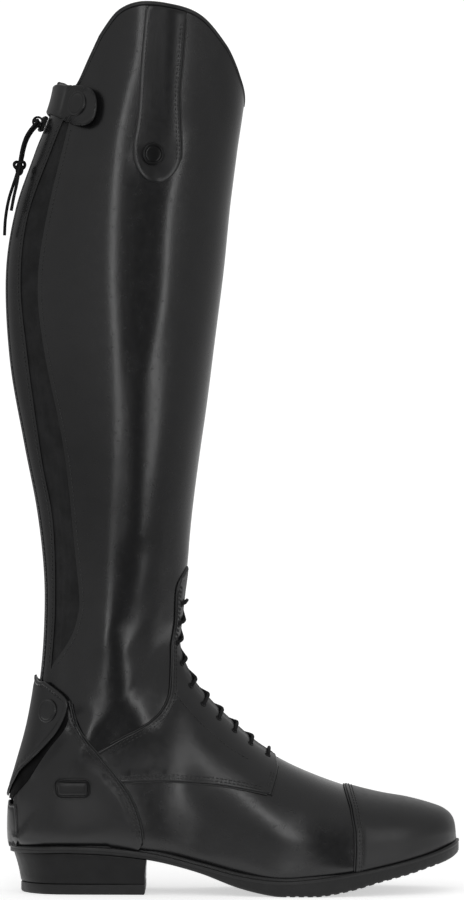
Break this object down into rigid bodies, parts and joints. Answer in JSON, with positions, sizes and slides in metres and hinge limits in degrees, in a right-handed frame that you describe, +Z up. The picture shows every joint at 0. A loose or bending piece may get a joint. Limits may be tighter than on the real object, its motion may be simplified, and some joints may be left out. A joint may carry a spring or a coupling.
{
  "type": "lace-up riding boot",
  "caption": "Tall black leather riding boot for the right leg: hollow shaft with a raised outer collar, laced instep, back zip with elastic, toe cap, spur rest, welted sole and stacked heel.",
  "frame": {"origin": "on the floor under the middle of the heel", "axes": "+X to the toe, +Y to the inner side of the leg, +Z up"},
  "size_m": [0.2823, 0.1105, 0.5477],
  "materials": {
    "leather": "smooth black leather, semi-gloss",
    "lining": "matt dark lining leather",
    "elastic": "ribbed elastic webbing, matt",
    "rubber": "black rubber, satin",
    "lace": "braided cord, matt",
    "zip": "black moulded teeth on woven tape",
    "metal": "black lacquered metal, gloss"
  },
  "bodies": {
    "root": {"upper": "leather", "tongue": "leather", "insole": "lining", "welt": "rubber", "outsole_fore": "rubber", "outsole_waist": "rubber", "heel_block": "rubber", "heel_lift": "rubber", "toe_cap": "leather", "quarter_outer": "leather", "quarter_inner": "leather", "counter_outer": "leather", "counter_inner": "leather", "back_stay": "leather", "ankle_flap": "leather", "side_strip": "leather", "collar_tab": "leather", "collar_binding": "leather", "spur_rest_outer": "leather", "spur_rest_inner": "leather", "elastic_panel": "elastic", "zip_chain": "zip", "zip_slider": "metal", "snap_side": "metal", "snap_tab": "metal", "snap_flap": "metal", "pull_loop": "lace", "pull_knot": "lace", "pull_tail_long": "lace", "pull_tail_short": "lace", "lace": "lace", "eyelet_outer_01": "metal", "eyelet_outer_02": "metal", "eyelet_outer_03": "metal", "eyelet_outer_04": "metal", "eyelet_outer_05": "metal", "eyelet_outer_06": "metal", "eyelet_outer_07": "metal", "eyelet_outer_08": "metal", "eyelet_outer_09": "metal", "eyelet_outer_10": "metal", "eyelet_inner_01": "metal", "eyelet_inner_02": "metal", "eyelet_inner_03": "metal", "eyelet_inner_04": "metal", "eyelet_inner_05": "metal", "eyelet_inner_06": "metal", "eyelet_inner_07": "metal", "eyelet_inner_08": "metal", "eyelet_inner_09": "metal", "eyelet_inner_10": "metal"}
  },
  "joints": []
}
